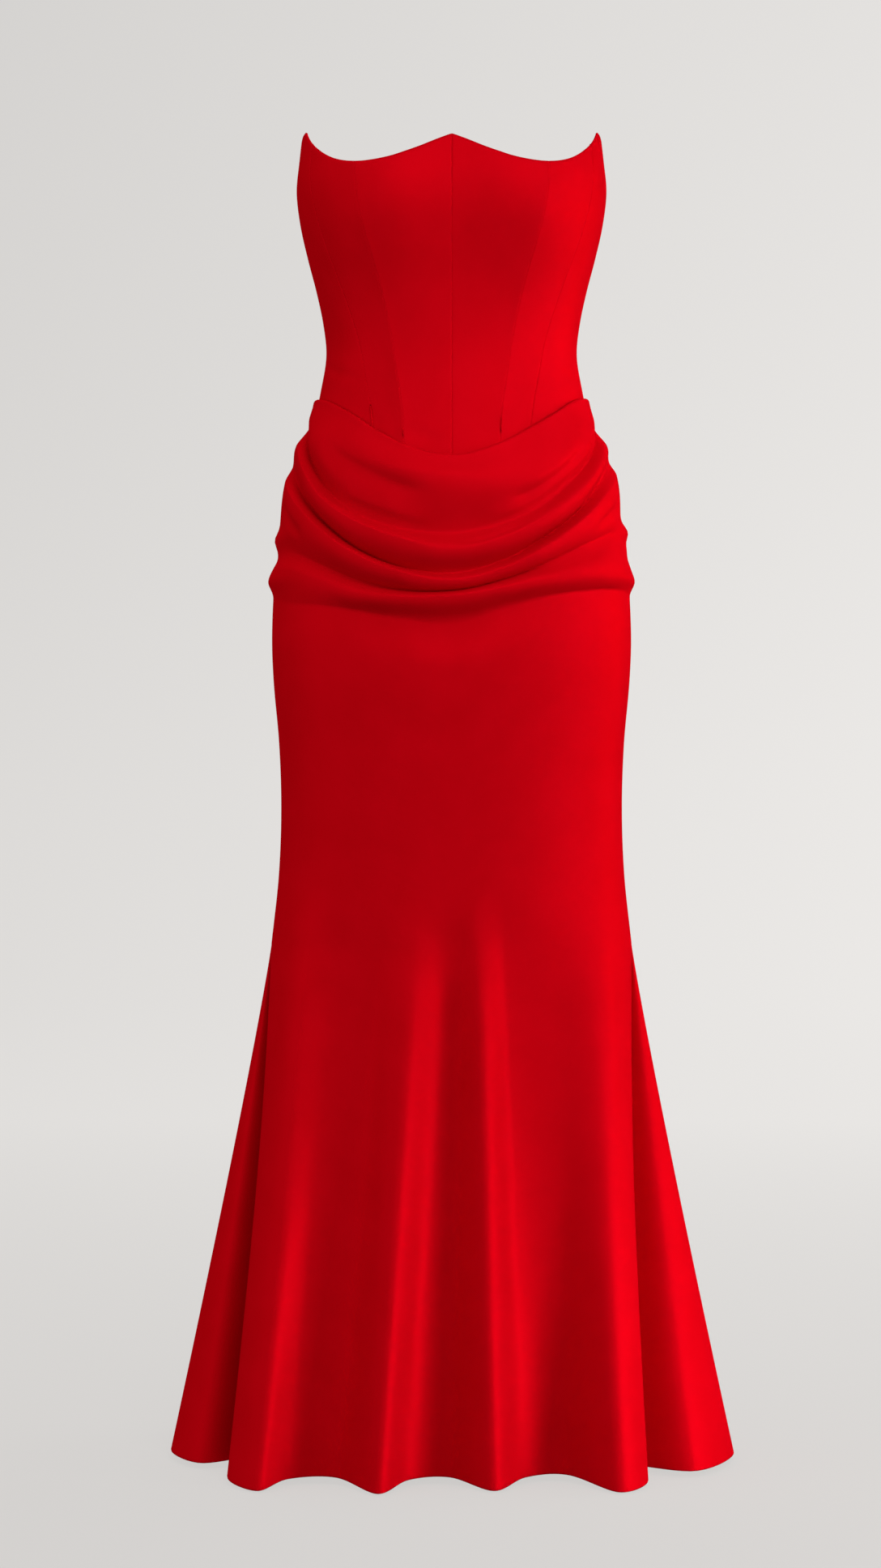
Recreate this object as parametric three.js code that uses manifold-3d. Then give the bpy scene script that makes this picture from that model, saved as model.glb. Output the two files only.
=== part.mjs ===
// Strapless maxi dress with a seamed corset bodice, a draped hip and a flared hem, in the shape it is worn in.
// Millimetres, +Z up. The origin is the centre of the waist, and the front faces -Y.
// Left and right are the wearer's, so left is +X. Angles go round the waist in degrees from the centre front.

import * as THREE from "three";
import { mergeVertices } from "three/addons/utils/BufferGeometryUtils.js";
import Module from "manifold-3d";

// Cloth and seams
const CLOTH = 2;
const SEAM_GAP = 0.3;
const SKIRT_STAND = 2.4;
const BACK_STAND = 3;

// Heights
const KNEE = -558;
const HEM = -1040;
const GODET_TIP = 10;
const DRAPE_RUN_OUT = 42;
const TUCK = 13;

// Plan sections of the fitted part, from the top edge to the knee
const ROUNDNESS = 2.2;
const SECTIONS = [
  { z: 210, side: 141.5, front: 89, back: 67 },
  { z: 184, side: 144.4, front: 95, back: 74 },
  { z: 154, side: 147.1, front: 100, back: 80 },
  { z: 123, side: 143.6, front: 100, back: 83 },
  { z: 92, side: 136.7, front: 96, back: 84 },
  { z: 61, side: 128.6, front: 92, back: 84 },
  { z: 30, side: 122, front: 90, back: 84 },
  { z: 0, side: 119, front: 90, back: 85 },
  { z: -31, side: 123.6, front: 93, back: 92 },
  { z: -65, side: 131.5, front: 98, back: 102 },
  { z: -94, side: 143.5, front: 103, back: 111 },
  { z: -140, side: 154.5, front: 110, back: 122 },
  { z: -200, side: 164, front: 115, back: 128 },
  { z: -262, side: 168, front: 118, back: 126 },
  { z: -308, side: 166.7, front: 118, back: 122 },
  { z: -370, side: 161.3, front: 114, back: 115 },
  { z: -431, side: 159.4, front: 110, back: 110 },
  { z: -493, side: 161.7, front: 106, back: 105 },
  { z: KNEE, side: 168.6, front: 104, back: 104 },
];

// Cups, shaped by the princess seams
const CUP = { x: 84, z: 128, wide: 45, tall: 42, deep: 22 };

// Top edge of the bodice
const NECK = { scoop: 167, centrePeak: 24, peakWidth: 9.5, sideRise: 39, riseFrom: 30, riseTo: 78, curve: 1.9 };
const BACK_TOP = 158;

// Bodice seams: the angle of each at a height
const BODICE_SEAMS = [
  { z: 210, princess: 36, sideFront: 66, back: 140 },
  { z: 120, princess: 34, sideFront: 60, back: 142 },
  { z: 60, princess: 29.5, sideFront: 53, back: 146 },
  { z: 0, princess: 25, sideFront: 44, back: 150 },
  { z: -60, princess: 18.5, sideFront: 33, back: 152 },
  { z: -130, princess: 13, sideFront: 23, back: 154 },
];

// Folds of the draped hip from its top edge down. Each hangs lowest at its centre angle and climbs to both
// sides: z is that low point, the climbs are how far it rises over its spread in degrees, backZ and backClimb
// are the same round the back, and front and side are how far the cloth stands off the form there.
const FOLDS = [
  { name: "edge", z: -105, centre: 0, rightClimb: 62, rightSpread: 40, leftClimb: 62, leftSpread: 40, backZ: -62, backClimb: 20, front: 5.5, side: 4.5 },
  { name: "belly", z: -138, centre: 0, rightClimb: 86, rightSpread: 58, leftClimb: 86, leftSpread: 56, backZ: -78, backClimb: 27, front: 10.5, side: 5.5 },
  { name: "trough1", z: -176, centre: -3, rightClimb: 150, rightSpread: 72, leftClimb: 140, leftSpread: 67, backZ: -96, backClimb: 37, front: 5, side: 4.5 },
  { name: "ridge2", z: -193, centre: 0, rightClimb: 135, rightSpread: 65, leftClimb: 130, leftSpread: 60, backZ: -116, backClimb: 41, front: 12.5, side: 7 },
  { name: "trough2", z: -214, centre: 0, rightClimb: 130, rightSpread: 63, leftClimb: 125, leftSpread: 55, backZ: -142, backClimb: 44, front: 5.5, side: 6 },
  { name: "ridge3", z: -222, centre: -1, rightClimb: 118, rightSpread: 58, leftClimb: 110, leftSpread: 50, backZ: -164, backClimb: 50, front: 11.5, side: 8 },
  { name: "trough3", z: -231, centre: -4, rightClimb: 52, rightSpread: 50, leftClimb: 70, leftSpread: 42, backZ: -198, backClimb: 30, front: 4.5, side: 3 },
  { name: "ridge4", z: -238, centre: -8, rightClimb: 44, rightSpread: 45, leftClimb: 46, leftSpread: 46, backZ: -222, backClimb: 32, front: 8.5, side: 6 },
  { name: "trough4", z: -260, centre: -4, rightClimb: 24, rightSpread: 22, leftClimb: 38, leftSpread: 25, backZ: -246, backClimb: 20, front: 3.2, side: 2.8 },
];

// Soft bulges and hollows between the folds where they run out at the sides
const SIDE_SWELLS = [
  { angle: -90, z: -176, wide: 20, tall: 8, out: 4.2 },
  { angle: -90, z: -196, wide: 18, tall: 7, out: -1.6 },
  { angle: -90, z: -216, wide: 24, tall: 8, out: 3 },
  { angle: 90, z: -168, wide: 20, tall: 8, out: 5 },
  { angle: 90, z: -194, wide: 20, tall: 8, out: -1.6 },
  { angle: 90, z: -216, wide: 24, tall: 8, out: 3 },
];
const LEAST_STAND = 2.4;
const BACK_SPREAD = 60;
const SIDE_BLEND = { from: 72, to: 118 };
const BACK_FLAT = { from: 105, to: 172 };
const STEEPEST = 0.6;

// Hem in plan: the crests and notches of its waves with the knee angle that each one falls from
const HEM_FRONT = [
  { angle: -89.6, x: -190, y: -60, drop: 0 },
  { angle: -66, x: -203, y: -118, drop: 2 },
  { angle: -53, x: -160, y: -153, drop: 5 },
  { angle: -30, x: -116, y: -126, drop: 0 },
  { angle: -16, x: -64, y: -163, drop: 5 },
  { angle: 1, x: -11, y: -124, drop: 0 },
  { angle: 6, x: 34, y: -150, drop: 5 },
  { angle: 22, x: 82, y: -108, drop: 0 },
  { angle: 47, x: 142, y: -157, drop: 5 },
  { angle: 64, x: 175, y: -127, drop: 3 },
  { angle: 89.6, x: 165, y: -66, drop: 0 },
];
const HEM_GODET_RIGHT = [
  { angle: -90.4, x: -190, y: 58, drop: 0 },
  { angle: -90.2, x: -242, y: 64, drop: 1 },
  { angle: -90, x: -267, y: 12, drop: 0 },
  { angle: -89.8, x: -228, y: -44, drop: 1 },
  { angle: -89.6, x: -190, y: -60, drop: 0 },
];
const HEM_GODET_LEFT = [
  { angle: 89.6, x: 165, y: -66, drop: 0 },
  { angle: 89.8, x: 212, y: -92, drop: 1 },
  { angle: 90, x: 267, y: -18, drop: 0 },
  { angle: 90.2, x: 247, y: 52, drop: 1 },
  { angle: 90.4, x: 188, y: 62, drop: 0 },
];
const HEM_BACK_LEFT = [
  { angle: 90.4, x: 188, y: 62, drop: 0 },
  { angle: 112, x: 204, y: 114, drop: 2 },
  { angle: 127, x: 150, y: 158, drop: 5 },
  { angle: 145, x: 104, y: 126, drop: 0 },
  { angle: 163, x: 54, y: 172, drop: 5 },
  { angle: 180, x: 0, y: 138, drop: 1 },
];
const HEM_BACK_RIGHT = [
  { angle: -180, x: 0, y: 138, drop: 1 },
  { angle: -163, x: -50, y: 176, drop: 5 },
  { angle: -145, x: -106, y: 124, drop: 0 },
  { angle: -127, x: -154, y: 160, drop: 5 },
  { angle: -112, x: -206, y: 110, drop: 2 },
  { angle: -90.4, x: -190, y: 58, drop: 0 },
];
const FLARE_CURVE = { wide: 1.08, deep: 1.22 };

// Grid steps
const PANEL_COLUMNS = 5;
const PANEL_ROWS = 11;
const STEPS_PER_FOLD = 2;
const THIGH_ROWS = 5;
const FLARE_ROWS = 9;
const COLUMNS_PER_WAVE = 3;
const BACK_COLUMNS_PER_WAVE = 3;

// Centre back zip
const TAPE = { wide: 12, thick: 0.8, bottom: -232, belowTop: 4, clear: 0.55, shift: 40, rows: 38 };
const SLIDER = { z: 142, wide: 7.4, tall: 12, thick: 1.4 };
const EAR = { thick: 1.1, half: 1.9, reach: 3.9 };
const PIN = { radius: 0.7, out: 2 };
const TAB = { knuckle: 1.7, bore: 1.05, wide: 4.4, end: 3.6, length: 24, thick: 1.4, hole: 1.5 };
const ROUND_STEPS = 20;

// Colours
const SATIN = { color: 0xa8000c, roughness: 0.42, metalness: 0 };
const TAPE_CLOTH = { color: 0x8c0a12, roughness: 0.8, metalness: 0 };
const ENAMEL = { color: 0x8c0a12, roughness: 0.3, metalness: 0.4 };

const radians = THREE.MathUtils.degToRad;
const lerp = THREE.MathUtils.lerp;
const smooth = (value, from, to) => THREE.MathUtils.smoothstep(value, from, to);
const ease = (part) => (1 - Math.cos(Math.PI * part)) / 2;

// The value of a column between a table's rows, on a smooth curve through them
function along(rows, key, value, column) {
  const rising = rows[0][key] < rows[rows.length - 1][key];
  const list = rising ? rows : [...rows].reverse();
  const last = list.length - 2;
  let i = 0;
  while (i < last && value > list[i + 1][key]) i++;
  return hermite(list, i, key, value, column);
}

function slope(list, i, key, column) {
  const before = list[Math.max(i - 1, 0)];
  const after = list[Math.min(i + 1, list.length - 1)];
  return (after[column] - before[column]) / (after[key] - before[key]);
}

function hermite(list, i, key, value, column) {
  const span = list[i + 1][key] - list[i][key];
  const s = THREE.MathUtils.clamp((value - list[i][key]) / span, 0, 1);
  const a = list[i][column];
  const b = list[i + 1][column];
  const startSlope = slope(list, i, key, column) * span;
  const endSlope = slope(list, i + 1, key, column) * span;
  const s2 = s * s;
  const s3 = s2 * s;
  return (2 * s3 - 3 * s2 + 1) * a + (s3 - 2 * s2 + s) * startSlope + (3 * s2 - 2 * s3) * b + (s3 - s2) * endSlope;
}

function cupDepth(x, z) {
  const one = (side) => Math.exp(-(((x - side * CUP.x) / CUP.wide) ** 2 + ((z - CUP.z) / CUP.tall) ** 2) / 2);
  return CUP.deep * (one(-1) + one(1));
}

// A point of the fitted form at an angle and a height, moved out by a stand-off
function formPoint(angle, z, stand) {
  const t = radians(angle);
  const side = along(SECTIONS, "z", z, "side");
  const depth = along(SECTIONS, "z", z, Math.cos(t) > 0 ? "front" : "back");
  const bow = (v) => Math.sign(v) * Math.abs(v) ** (2 / ROUNDNESS);
  const x = side * bow(Math.sin(t));
  const y = -depth * bow(Math.cos(t));
  const out = new THREE.Vector2(x / side ** 2, y / depth ** 2).normalize();
  const cup = cupDepth(x, z) * Math.sqrt(Math.max(Math.cos(t), 0));
  return new THREE.Vector3(x + stand * out.x, y - cup + stand * out.y, z);
}

function topEdge(angle) {
  const a = Math.abs(angle);
  const peak = NECK.centrePeak * Math.exp(-a / NECK.peakWidth);
  const rise = THREE.MathUtils.clamp((a - NECK.riseFrom) / (NECK.riseTo - NECK.riseFrom), 0, 1);
  const front = NECK.scoop + peak + NECK.sideRise * rise ** NECK.curve;
  return lerp(front, BACK_TOP, smooth(a, NECK.riseTo, 165));
}

function climb(rise, away, spread) {
  return rise * (1 - Math.exp(-((away / spread) ** 2)));
}

function foldHeight(fold, angle) {
  const away = Math.abs(angle - fold.centre);
  const isRight = angle < fold.centre;
  const rise = isRight ? fold.rightClimb : fold.leftClimb;
  const spread = isRight ? fold.rightSpread : fold.leftSpread;
  const front = fold.z + climb(rise, away, spread);
  const back = fold.backZ + climb(fold.backClimb, 180 - Math.abs(angle), BACK_SPREAD);
  return lerp(front, back, smooth(Math.abs(angle), SIDE_BLEND.from, SIDE_BLEND.to));
}

function foldStand(fold, angle) {
  const a = Math.abs(angle);
  const stand = lerp(fold.front, fold.side, smooth(a, 35, 90));
  return lerp(stand, BACK_STAND, smooth(a, BACK_FLAT.from, BACK_FLAT.to));
}

// The drape's profile at an angle: heights and stand-offs of its folds, none steeper than the cloth hangs
function drapeProfile(angle) {
  const knots = FOLDS.map((fold) => ({ z: foldHeight(fold, angle), stand: foldStand(fold, angle) }));
  for (let i = 1; i < knots.length; i += 2) {
    const above = knots[i - 1];
    const below = knots[i + 1] ?? above;
    const gap = Math.min(above.z - knots[i].z, knots[i].z - below.z || Infinity);
    const limit = Math.max(above.stand, below.stand) + STEEPEST * Math.max(gap, 0);
    knots[i].stand = Math.min(knots[i].stand, limit);
  }
  const end = knots[knots.length - 1];
  knots.push({ z: end.z - DRAPE_RUN_OUT, stand: SKIRT_STAND });
  return knots;
}

function drapePoint(angle, place) {
  const knots = drapeProfile(angle);
  const i = THREE.MathUtils.clamp(Math.floor(place), 0, knots.length - 2);
  const part = place - i;
  const z = lerp(knots[i].z, knots[i + 1].z, part);
  const stand = lerp(knots[i].stand, knots[i + 1].stand, ease(part));
  return formPoint(angle, z, Math.max(stand + swell(angle, z), LEAST_STAND));
}

function swell(angle, z) {
  const one = (s) => s.out * Math.exp(-(((angle - s.angle) / s.wide) ** 2) - ((z - s.z) / s.tall) ** 2);
  return SIDE_SWELLS.reduce((sum, s) => sum + one(s), 0);
}

function drapeEnd(angle) {
  const knots = drapeProfile(angle);
  return knots[knots.length - 1].z;
}

// A point of the flare: straight down from the knee section to the hem's waves
function flarePoint(hem, wave, part) {
  const rows = hem.map((row, i) => ({ ...row, i }));
  const at = (column) => along(rows, "i", wave, column);
  const knee = formPoint(kneeAngle(hem, wave), KNEE, SKIRT_STAND);
  const open = Math.max(part, 0);
  return new THREE.Vector3(
    lerp(knee.x, at("x"), open ** FLARE_CURVE.wide),
    lerp(knee.y, at("y"), open ** FLARE_CURVE.deep),
    lerp(KNEE, HEM - at("drop"), part),
  );
}

function kneeAngle(hem, wave) {
  const i = THREE.MathUtils.clamp(Math.floor(wave), 0, hem.length - 2);
  return lerp(hem[i].angle, hem[i + 1].angle, wave - i);
}

// A point of a skirt panel. Rows run through the drape, the thigh and the flare.
function skirtPoint(hem, wave, row) {
  const drapeRows = FOLDS.length * STEPS_PER_FOLD;
  const first = hem[0].angle;
  const last = hem[hem.length - 1].angle;
  const even = lerp(onSeam(first), onSeam(last), wave / (hem.length - 1));
  if (row <= drapeRows) return drapePoint(even, row / STEPS_PER_FOLD);
  if (row > drapeRows + THIGH_ROWS) return flarePoint(hem, wave, Math.max(row - KNEE_ROW, 0) / FLARE_ROWS);
  const part = (row - drapeRows) / THIGH_ROWS;
  const angle = lerp(even, kneeAngle(seamed(hem), wave), ease(part));
  return formPoint(angle, lerp(drapeEnd(angle), KNEE + GODET_TIP, part), SKIRT_STAND);
}

// An angle beside the side seam, moved onto it
function onSeam(angle) {
  return Math.abs(angle) < 95 ? 90 * Math.sign(angle) : angle;
}

// A hem's rows with their first and last knee angles on the seams, as they are above the godets
function seamed(hem) {
  return hem.map((row, i) => (i > 0 && i < hem.length - 1 ? row : { ...row, angle: onSeam(row.angle) }));
}

const KNEE_ROW = FOLDS.length * STEPS_PER_FOLD + THIGH_ROWS + 1;
const SKIRT_ROWS = KNEE_ROW + FLARE_ROWS;

// Outward normal of a surface at a place on it, from points close by
function normalAt(pointAt, across, up) {
  const near = 0.004;
  const side = pointAt(across + near, up).sub(pointAt(across - near, up));
  const rise = pointAt(across, up + near).sub(pointAt(across, up - near));
  return side.cross(rise).normalize();
}

// Moves the first and last point of each line in along the line, to leave half a seam gap
function insetSides(points) {
  const half = SEAM_GAP / 2;
  return points.map((line) => {
    const moved = line.map((p) => p.clone());
    const n = line.length - 1;
    moved[0].add(line[1].clone().sub(line[0]).setLength(half));
    moved[n].add(line[n - 1].clone().sub(line[n]).setLength(half));
    return moved;
  });
}

function grid(rows, columns, pointAt) {
  return Array.from({ length: rows + 1 }, (_, j) =>
    Array.from({ length: columns + 1 }, (_, i) => pointAt(i / columns, j / rows)),
  );
}

// A closed wall of cloth: outer points, inner points a thickness in, and the rim between them
function clothWall(pointAt, rowSteps, columnSteps, thickness) {
  const innerAt = (across, up) =>
    pointAt(across, up).addScaledVector(normalAt(pointAt, across, up), -thickness);
  const outside = insetSides(grid(rowSteps, columnSteps, pointAt));
  const inside = insetSides(grid(rowSteps, columnSteps, innerAt));
  const rows = outside.length;
  const columns = outside[0].length;
  const position = [...outside.flat(), ...inside.flat()].flatMap((p) => [p.x, p.y, p.z]);
  const index = [];
  const out = (j, i) => j * columns + i;
  const into = (j, i) => rows * columns + j * columns + i;
  const quad = (a, b, c, d) => index.push(a, b, c, a, c, d);
  for (let j = 0; j < rows - 1; j++) {
    for (let i = 0; i < columns - 1; i++) {
      quad(out(j, i), out(j, i + 1), out(j + 1, i + 1), out(j + 1, i));
      quad(into(j, i), into(j + 1, i), into(j + 1, i + 1), into(j, i + 1));
    }
    quad(out(j, 0), out(j + 1, 0), into(j + 1, 0), into(j, 0));
    quad(out(j + 1, columns - 1), out(j, columns - 1), into(j, columns - 1), into(j + 1, columns - 1));
  }
  for (let i = 0; i < columns - 1; i++) {
    quad(out(0, i + 1), out(0, i), into(0, i), into(0, i + 1));
    quad(out(rows - 1, i), out(rows - 1, i + 1), into(rows - 1, i + 1), into(rows - 1, i));
  }
  const geometry = new THREE.BufferGeometry();
  geometry.setAttribute("position", new THREE.Float32BufferAttribute(position, 3));
  geometry.setIndex(index);
  return geometry;
}

function named(name, geometry, finish) {
  geometry.computeVertexNormals();
  const mesh = new THREE.Mesh(geometry, new THREE.MeshStandardMaterial(finish));
  mesh.name = name;
  return mesh;
}

// The angle of a bodice seam at a height. Side is 1 on the wearer's left and -1 on the right.
function seamAngle(seam, side, z) {
  const fixed = { centreFront: 0, side: 90, centreBack: 180 };
  return side * (fixed[seam] ?? along(BODICE_SEAMS, "z", z, seam));
}

function bodicePoint(from, to, side, across, up) {
  let z = lerp(foldHeight(FOLDS[0], 0), NECK.scoop, up);
  let angle = 0;
  for (let pass = 0; pass < 12; pass++) {
    angle = lerp(seamAngle(from, side, z), seamAngle(to, side, z), across);
    z = lerp(foldHeight(FOLDS[0], angle) - TUCK, topEdge(angle), up);
  }
  return formPoint(angle, z, 0);
}

function bodicePanel(name, from, to, side) {
  const [start, end] = side > 0 ? [from, to] : [to, from];
  const pointAt = (across, up) => bodicePoint(start, end, side, across, up);
  return named(name, clothWall(pointAt, PANEL_ROWS, PANEL_COLUMNS, CLOTH), SATIN);
}

function bodice() {
  const group = new THREE.Group();
  const panels = [
    ["bodice_center_front", "centreFront", "princess"],
    ["bodice_side_front", "princess", "sideFront"],
    ["bodice_side", "sideFront", "side"],
    ["bodice_side_back", "side", "back"],
    ["bodice_center_back", "back", "centreBack"],
  ];
  for (const [name, from, to] of panels) {
    group.add(bodicePanel(name + "_left", from, to, 1));
    group.add(bodicePanel(name + "_right", from, to, -1));
  }
  return group;
}

function skirtPanel(name, hem, columnsPerWave, firstRow) {
  const waves = hem.length - 1;
  const rows = SKIRT_ROWS - firstRow;
  const pointAt = (across, up) => skirtPoint(hem, across * waves, SKIRT_ROWS - up * rows);
  return named(name, clothWall(pointAt, rows, waves * columnsPerWave, CLOTH), SATIN);
}

function skirt() {
  const group = new THREE.Group();
  group.add(skirtPanel("skirt_front", HEM_FRONT, COLUMNS_PER_WAVE, 0));
  group.add(skirtPanel("skirt_back_left", HEM_BACK_LEFT, BACK_COLUMNS_PER_WAVE, 0));
  group.add(skirtPanel("skirt_back_right", HEM_BACK_RIGHT, BACK_COLUMNS_PER_WAVE, 0));
  group.add(skirtPanel("godet_left", HEM_GODET_LEFT, 2, KNEE_ROW));
  group.add(skirtPanel("godet_right", HEM_GODET_RIGHT, 2, KNEE_ROW));
  return group;
}

const wasm = await Module();
wasm.setup();

function solid(geometry) {
  const plain = geometry.index ? geometry.clone() : geometry;
  plain.deleteAttribute("normal");
  plain.deleteAttribute("uv");
  const merged = mergeVertices(plain, 1e-4);
  return new wasm.Manifold(
    new wasm.Mesh({
      numProp: 3,
      vertProperties: merged.attributes.position.array,
      triVerts: new Uint32Array(merged.index.array),
    }),
  );
}

function geometryOf(body) {
  const mesh = body.getMesh();
  const geometry = new THREE.BufferGeometry();
  geometry.setAttribute("position", new THREE.Float32BufferAttribute(mesh.vertProperties, 3));
  geometry.setIndex(Array.from(mesh.triVerts));
  return geometry;
}

function box(wide, deep, tall, x, y, z) {
  return solid(new THREE.BoxGeometry(wide, deep, tall).translate(x, y, z));
}

function rod(radius, length, y, z) {
  const cylinder = new THREE.CylinderGeometry(radius, radius, length, ROUND_STEPS);
  return solid(cylinder.rotateZ(Math.PI / 2).translate(0, y, z));
}

// The tape lies against the inside of the wall, a seam gap from it and from the other tape
function zipTape(name, side) {
  const under = foldHeight(FOLDS[0], 180) - TUCK;
  const top = BACK_TOP - TAPE.belowTop;
  const pointAt = (across, up) => {
    const z = lerp(TAPE.bottom, top, up);
    const onBodice = smooth(z, under - TAPE.shift, under - CLOTH);
    const y = formPoint(180, z, 0).y - CLOTH * onBodice - TAPE.clear;
    const x = side > 0 ? lerp(TAPE.wide, 0, across) : lerp(0, -TAPE.wide, across);
    return new THREE.Vector3(x, y, z);
  };
  return named(name, clothWall(pointAt, TAPE.rows, 1, TAPE.thick), TAPE_CLOTH);
}

function sliderBack() {
  return formPoint(180, SLIDER.z - SLIDER.tall / 2, 0).y + SEAM_GAP;
}

// The pull tab turns on the pin, along X
function pinPlace() {
  return { y: sliderBack() + SLIDER.thick + PIN.out, z: SLIDER.z };
}

function zipSlider() {
  const back = sliderBack();
  const pin = pinPlace();
  const earX = SLIDER.wide / 2 - EAR.thick / 2;
  const earY = back + (SLIDER.thick + EAR.reach) / 2;
  const plate = box(SLIDER.wide, SLIDER.thick, SLIDER.tall, 0, back + SLIDER.thick / 2, SLIDER.z);
  const ears = [-1, 1].map((side) =>
    box(EAR.thick, SLIDER.thick + EAR.reach, 2 * EAR.half, side * earX, earY, SLIDER.z),
  );
  const rodBody = rod(PIN.radius, SLIDER.wide - EAR.thick, pin.y, pin.z);
  const body = plate.add(ears[0]).add(ears[1]).add(rodBody);
  return named("zip_slider", geometryOf(body), ENAMEL);
}

function tabOutline() {
  const bottom = -TAB.length + TAB.end;
  const shape = new THREE.Shape();
  shape.moveTo(-TAB.wide / 2, 0);
  shape.lineTo(-TAB.end, bottom);
  shape.absarc(0, bottom, TAB.end, Math.PI, 2 * Math.PI, false);
  shape.lineTo(TAB.wide / 2, 0);
  shape.closePath();
  const hole = new THREE.Path();
  hole.absarc(0, bottom, TAB.hole, 0, 2 * Math.PI, true);
  shape.holes.push(hole);
  return shape;
}

function zipPullTab() {
  const pin = pinPlace();
  const plate = new THREE.ExtrudeGeometry(tabOutline(), {
    depth: TAB.thick,
    bevelEnabled: false,
    curveSegments: ROUND_STEPS / 2,
  });
  plate.rotateX(Math.PI / 2).translate(0, pin.y + TAB.thick / 2, pin.z);
  const knuckle = rod(TAB.knuckle, TAB.wide, pin.y, pin.z);
  const bore = rod(TAB.bore, TAB.wide * 2, pin.y, pin.z);
  const body = solid(plate).add(knuckle).subtract(bore);
  return named("zip_pull_tab", geometryOf(body), ENAMEL);
}

function zip() {
  const group = new THREE.Group();
  group.add(zipTape("zip_tape_left", 1));
  group.add(zipTape("zip_tape_right", -1));
  group.add(zipSlider());
  group.add(zipPullTab());
  return group;
}

const dress = new THREE.Group();
dress.add(bodice(), skirt(), zip());

export default dress;
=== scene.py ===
import math

import bpy
import numpy as np
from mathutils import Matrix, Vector


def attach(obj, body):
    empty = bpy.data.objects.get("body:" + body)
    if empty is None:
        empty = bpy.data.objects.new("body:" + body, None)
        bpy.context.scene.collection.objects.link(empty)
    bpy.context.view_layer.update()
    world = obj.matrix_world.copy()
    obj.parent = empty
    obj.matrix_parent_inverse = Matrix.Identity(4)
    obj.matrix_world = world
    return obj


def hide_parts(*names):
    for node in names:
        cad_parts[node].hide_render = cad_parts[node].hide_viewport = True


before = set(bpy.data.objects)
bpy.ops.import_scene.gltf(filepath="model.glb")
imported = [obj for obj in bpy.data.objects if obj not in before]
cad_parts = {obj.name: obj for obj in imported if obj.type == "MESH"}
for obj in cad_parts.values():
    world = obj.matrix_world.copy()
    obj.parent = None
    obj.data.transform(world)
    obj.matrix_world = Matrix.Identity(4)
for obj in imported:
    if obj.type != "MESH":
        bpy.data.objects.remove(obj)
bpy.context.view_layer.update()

# Strapless maxi dress with a seamed bodice, a draped hip and a flared hem, in the shape it is worn in.
# The tables are in millimetres and degrees, as in the part's source, and the meshes are in metres.
# The front faces -Y, left is the wearer's left at +X, and angles go round from the centre front.
MM = 0.001

# Thickness of the skirt's cloth and of the stiffened bodice, how far off the form the skirt hangs, and the
# least stand-off that a trough may have
SKIRT_CLOTH = 0.9
BODICE_CLOTH = 1.5
SKIRT_STAND = 2.4
LEAST_STAND = -2

# Heights of the knee and the hem from the waist, how far above the knee the godets end, how far the drape
# runs out below its last trough, and how far the bodice is tucked under the drape
KNEE = -558
HEM = -1040
GODET_TIP = 10
DRAPE_RUN_OUT = 42
TUCK = 13

# The fitted form: half its width, and its depths in front and behind, at heights. With a roundness of 2 its
# sections would be ellipses, and with more they are squarer.
ROUNDNESS = 2.2
SECTIONS = [
    {"z": 210, "side": 141.5, "front": 89, "back": 67},
    {"z": 184, "side": 144.4, "front": 95, "back": 74},
    {"z": 154, "side": 147.1, "front": 100, "back": 80},
    {"z": 123, "side": 143.6, "front": 100, "back": 83},
    {"z": 92, "side": 136.7, "front": 96, "back": 84},
    {"z": 61, "side": 128.6, "front": 92, "back": 84},
    {"z": 30, "side": 122, "front": 90, "back": 84},
    {"z": 0, "side": 119, "front": 90, "back": 85},
    {"z": -31, "side": 123.6, "front": 93, "back": 92},
    {"z": -65, "side": 131.5, "front": 98, "back": 102},
    {"z": -94, "side": 143.5, "front": 103, "back": 111},
    {"z": -140, "side": 154.5, "front": 110, "back": 122},
    {"z": -200, "side": 164, "front": 115, "back": 128},
    {"z": -262, "side": 168, "front": 118, "back": 126},
    {"z": -308, "side": 166.7, "front": 118, "back": 122},
    {"z": -370, "side": 161.3, "front": 114, "back": 115},
    {"z": -431, "side": 159.4, "front": 110, "back": 110},
    {"z": -493, "side": 161.7, "front": 106, "back": 105},
    {"z": KNEE, "side": 168.6, "front": 104, "back": 104},
]

# Where the left cup lies and how it fills out, and the soft ridge along the princess seams
CUP = {"x": 86, "z": 133, "wide": 43, "tall": 58, "deep": 19}
PRINCESS_RIDGE = {"out": 2, "wide": 10}

# The top edge: its height in front and its rise to the sides, the peak in its middle, its height behind, and
# the angle from which it has that height
NECK = {"scoop": 167, "side_rise": 39, "rise_from": 30, "rise_to": 75, "curve": 1.9}
NECK_PEAK = [
    {"angle": 0, "up": 25},
    {"angle": 5, "up": 19},
    {"angle": 10, "up": 13},
    {"angle": 15, "up": 8},
    {"angle": 20, "up": 3.6},
    {"angle": 25, "up": 0.9},
    {"angle": 30, "up": -0.6},
    {"angle": 36, "up": -1.3},
    {"angle": 46, "up": -0.6},
    {"angle": 58, "up": 1.4},
    {"angle": 70, "up": 1},
    {"angle": 80, "up": 0},
]
BACK_TOP = 158
BACK_TOP_FROM = 165

# Angles of the bodice's seams at heights, the same on both sides
BODICE_SEAMS = [
    {"z": 210, "princess": 36, "side_front": 66, "back": 140},
    {"z": 120, "princess": 34, "side_front": 60, "back": 142},
    {"z": 60, "princess": 29.5, "side_front": 53, "back": 146},
    {"z": 0, "princess": 25, "side_front": 44, "back": 150},
    {"z": -60, "princess": 18.5, "side_front": 33, "back": 152},
    {"z": -130, "princess": 13, "side_front": 23, "back": 154},
]

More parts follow.
